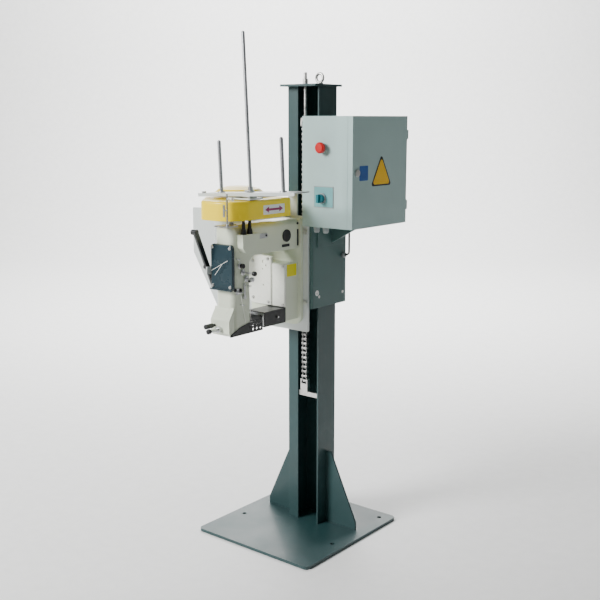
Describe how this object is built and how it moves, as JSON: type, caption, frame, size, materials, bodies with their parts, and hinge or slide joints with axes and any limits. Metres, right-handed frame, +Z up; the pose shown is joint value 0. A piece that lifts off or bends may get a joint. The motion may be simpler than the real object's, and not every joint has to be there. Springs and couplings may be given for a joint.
{
  "type": "bag closer sewing machine",
  "caption": "Column-mounted bag closing sewing machine: C-frame head with belt guard and thread stand on a chain-guided lifting carriage with a switch box",
  "frame": {"origin": "centre of the column foot's anchor bolt pattern, on the floor", "axes": "+X right along the bag's travel, +Y back away from the operator, +Z up"},
  "size_m": [0.8564, 0.8, 1.9251],
  "materials": {
    "axles_and_bearings": "bright turned steel",
    "base_plate": "semi-gloss enamel",
    "bed_covers": "smooth enamel",
    "belt_guard": "gloss enamel over sheet aluminium",
    "box_bracket": "semi-gloss enamel",
    "box_door": "fine texture enamel",
    "button_collars": "moulded",
    "cable_glands": "moulded",
    "carriage_housing": "semi-gloss enamel",
    "chain_anchors": "bright turned steel",
    "column": "semi-gloss enamel",
    "column_gussets": "semi-gloss enamel",
    "column_top_plate": "semi-gloss enamel",
    "control_box": "fine texture enamel",
    "door_hinges": "fine texture enamel",
    "door_lock": "bright turned steel",
    "drive_belt": "matt rubber",
    "estop_button": "moulded",
    "face_cover": "satin enamel",
    "fasteners": "bright turned steel",
    "feed_dog": "bright turned steel",
    "finger_guard": "black oxide",
    "front_lower_rollers": "ground steel",
    "front_upper_rollers": "ground steel",
    "guard_posts": "black oxide",
    "head_brackets": "satin enamel",
    "head_casting": "smooth enamel",
    "lift_cable": "matt sheath",
    "lift_chain": "oiled steel",
    "lift_gearmotor": "painted die casting",
    "lift_shaft": "bright turned steel",
    "lifter_lever": "black oxide",
    "looper": "bright turned steel",
    "looper_block": "black oxide",
    "main_pulley": "painted die casting",
    "main_shaft": "bright turned steel",
    "motor_pulley": "painted die casting",
    "mounting_plate": "satin enamel",
    "needle_bar": "bright turned steel",
    "needle_plate": "bright turned steel",
    "oil_window": "moulded",
    "presser_bar": "bright turned steel",
    "presser_foot": "black oxide",
    "presser_knob": "black oxide",
    "rear_lower_rollers": "ground steel",
    "rear_upper_rollers": "ground steel",
    "selector_knob": "moulded",
    "sewing_motor": "painted die casting",
    "shaft_bearings": "bright turned steel",
    "switchgear": "moulded",
    "take_up_lever": "bright turned steel",
    "tension_knob_lower": "moulded",
    "tension_knob_upper": "moulded",
    "thread_guides": "bright turned steel",
    "thread_knife": "bright turned steel",
    "thread_pole": "bright turned steel",
    "thread_spindles": "bright turned steel",
    "thread_stand": "satin enamel",
    "thread_tensions": "bright turned steel",
    "top_hardware": "bright turned steel"
  },
  "bodies": {
    "frame": {"base_plate": "base_plate", "column": "column", "column_gussets": "column_gussets", "column_top_plate": "column_top_plate", "top_hardware": "top_hardware", "lift_chain": "lift_chain", "chain_anchors": "chain_anchors"},
    "carriage": {"axles_and_bearings": "axles_and_bearings", "bed_covers": "bed_covers", "belt_guard": "belt_guard", "box_bracket": "box_bracket", "button_collars": "button_collars", "cable_glands": "cable_glands", "carriage_housing": "carriage_housing", "control_box": "control_box", "door_hinges": "door_hinges", "drive_belt": "drive_belt", "face_cover": "face_cover", "fasteners": "fasteners", "finger_guard": "finger_guard", "guard_posts": "guard_posts", "head_brackets": "head_brackets", "head_casting": "head_casting", "lift_cable": "lift_cable", "lift_gearmotor": "lift_gearmotor", "looper_block": "looper_block", "mounting_plate": "mounting_plate", "needle_plate": "needle_plate", "oil_window": "oil_window", "sewing_motor": "sewing_motor", "shaft_bearings": "shaft_bearings", "switchgear": "switchgear", "thread_guides": "thread_guides", "thread_pole": "thread_pole", "thread_spindles": "thread_spindles", "thread_stand": "thread_stand", "thread_tensions": "thread_tensions"},
    "front_lower_rollers": {"front_lower_rollers": "front_lower_rollers"},
    "front_upper_rollers": {"front_upper_rollers": "front_upper_rollers"},
    "rear_lower_rollers": {"rear_lower_rollers": "rear_lower_rollers"},
    "rear_upper_rollers": {"rear_upper_rollers": "rear_upper_rollers"},
    "lift_drive": {"lift_shaft": "lift_shaft"},
    "main_rotor": {"main_shaft": "main_shaft", "main_pulley": "main_pulley"},
    "motor_rotor": {"motor_pulley": "motor_pulley"},
    "needle_drive": {"needle_bar": "needle_bar"},
    "presser": {"presser_bar": "presser_bar", "presser_foot": "presser_foot"},
    "presser_adjuster": {"presser_knob": "presser_knob"},
    "lifter": {"lifter_lever": "lifter_lever"},
    "feed": {"feed_dog": "feed_dog"},
    "looper_rocker": {"looper": "looper"},
    "knife": {"thread_knife": "thread_knife"},
    "tension_upper": {"tension_knob_upper": "tension_knob_upper"},
    "tension_lower": {"tension_knob_lower": "tension_knob_lower"},
    "take_up": {"take_up_lever": "take_up_lever"},
    "door": {"box_door": "box_door"},
    "lock": {"door_lock": "door_lock"},
    "estop": {"estop_button": "estop_button"},
    "selector": {"selector_knob": "selector_knob"}
  },
  "joints": [
    {"name": "carriage_lift", "type": "slide", "parent": "frame", "child": "carriage", "axis": [0, 0, 1], "range_m": [-0.3, 0.35]},
    {"name": "lift_sprocket_spin", "type": "hinge", "parent": "carriage", "child": "lift_drive", "pos_m": [0, -0.074, 1.07635], "axis": [1, 0, 0], "range_deg": [-700, 700]},
    {"name": "front_lower_roller_spin", "type": "hinge", "parent": "carriage", "child": "front_lower_rollers", "pos_m": [0, -0.0743, 0.957], "axis": [1, 0, 0], "range_deg": [-1150, 1150]},
    {"name": "front_upper_roller_spin", "type": "hinge", "parent": "carriage", "child": "front_upper_rollers", "pos_m": [0, -0.0743, 1.193], "axis": [1, 0, 0], "range_deg": [-1150, 1150]},
    {"name": "rear_lower_roller_spin", "type": "hinge", "parent": "carriage", "child": "rear_lower_rollers", "pos_m": [0, 0.0763, 0.957], "axis": [1, 0, 0], "range_deg": [-1300, 1300]},
    {"name": "rear_upper_roller_spin", "type": "hinge", "parent": "carriage", "child": "rear_upper_rollers", "pos_m": [0, 0.0763, 1.193], "axis": [1, 0, 0], "range_deg": [-1300, 1300]},
    {"name": "main_shaft_spin", "type": "hinge", "parent": "carriage", "child": "main_rotor", "pos_m": [0, -0.462, 1.316], "axis": [0, 0, 1], "continuous": true},
    {"name": "motor_spin", "type": "hinge", "parent": "carriage", "child": "motor_rotor", "pos_m": [-0.175, -0.29, 1.316], "axis": [0, 0, 1], "continuous": true},
    {"name": "needle_stroke", "type": "slide", "parent": "carriage", "child": "needle_drive", "axis": [0, 1, 0], "range_m": [0, 0.03]},
    {"name": "presser_lift", "type": "slide", "parent": "carriage", "child": "presser", "axis": [0, -1, 0], "range_m": [0, 0.008]},
    {"name": "lifter_swing", "type": "hinge", "parent": "carriage", "child": "lifter", "pos_m": [-0.064, -0.522, 1.112], "axis": [1, 0, 0], "range_deg": [0, 20], "stiffness_Nm_per_rad": 1, "springref_deg": -8.59},
    {"name": "presser_adjust", "type": "hinge", "parent": "carriage", "child": "presser_adjuster", "pos_m": [-0.025, -0.56, 0.907], "axis": [0, 1, 0], "range_deg": [-360, 360]},
    {"name": "feed_travel", "type": "slide", "parent": "carriage", "child": "feed", "axis": [1, 0, 0], "range_m": [-0.003, 0.003]},
    {"name": "looper_rock", "type": "hinge", "parent": "carriage", "child": "looper_rocker", "pos_m": [0, -0.262, 0.902], "axis": [1, 0, 0], "range_deg": [-8, 8]},
    {"name": "knife_swing", "type": "hinge", "parent": "carriage", "child": "knife", "pos_m": [-0.047, -0.3, 0.902], "axis": [1, 0, 0], "range_deg": [-10, 10]},
    {"name": "take_up_swing", "type": "hinge", "parent": "carriage", "child": "take_up", "pos_m": [0.05, -0.452, 1.006], "axis": [1, 0, 0], "range_deg": [-12, 12]},
    {"name": "tension_upper_turn", "type": "hinge", "parent": "carriage", "child": "tension_upper", "pos_m": [0.06, -0.473, 1.121], "axis": [1, 0, 0], "range_deg": [-360, 360]},
    {"name": "tension_lower_turn", "type": "hinge", "parent": "carriage", "child": "tension_lower", "pos_m": [0.1, -0.458, 1.096], "axis": [1, 0, 0], "range_deg": [-360, 360]},
    {"name": "door_swing", "type": "hinge", "parent": "carriage", "child": "door", "pos_m": [0.314, 0.18, 1.44], "axis": [0, 0, 1], "range_deg": [0, 110]},
    {"name": "door_lock_turn", "type": "hinge", "parent": "door", "child": "lock", "pos_m": [0.31, -0.152, 1.44], "axis": [1, 0, 0], "range_deg": [-90, 0]},
    {"name": "estop_push", "type": "slide", "parent": "carriage", "child": "estop", "axis": [0, 1, 0], "range_m": [0, 0.006], "stiffness_N_per_m": 900},
    {"name": "selector_turn", "type": "hinge", "parent": "carriage", "child": "selector", "pos_m": [0.19, -0.2, 1.347], "axis": [0, 1, 0], "range_deg": [-45, 45]}
  ],
  "couplings": [
    {"joint": "lift_sprocket_spin", "follows": "carriage_lift", "rad_per_m": -32.983},
    {"joint": "front_lower_roller_spin", "follows": "carriage_lift", "rad_per_m": -52.632},
    {"joint": "front_upper_roller_spin", "follows": "carriage_lift", "rad_per_m": -52.632},
    {"joint": "rear_lower_roller_spin", "follows": "carriage_lift", "rad_per_m": 62.5},
    {"joint": "rear_upper_roller_spin", "follows": "carriage_lift", "rad_per_m": 62.5},
    {"joint": "motor_spin", "follows": "main_shaft_spin", "ratio": 2.0606},
    {"joint": "presser_lift", "follows": "lifter_swing", "m_per_rad": 0.022918}
  ]
}
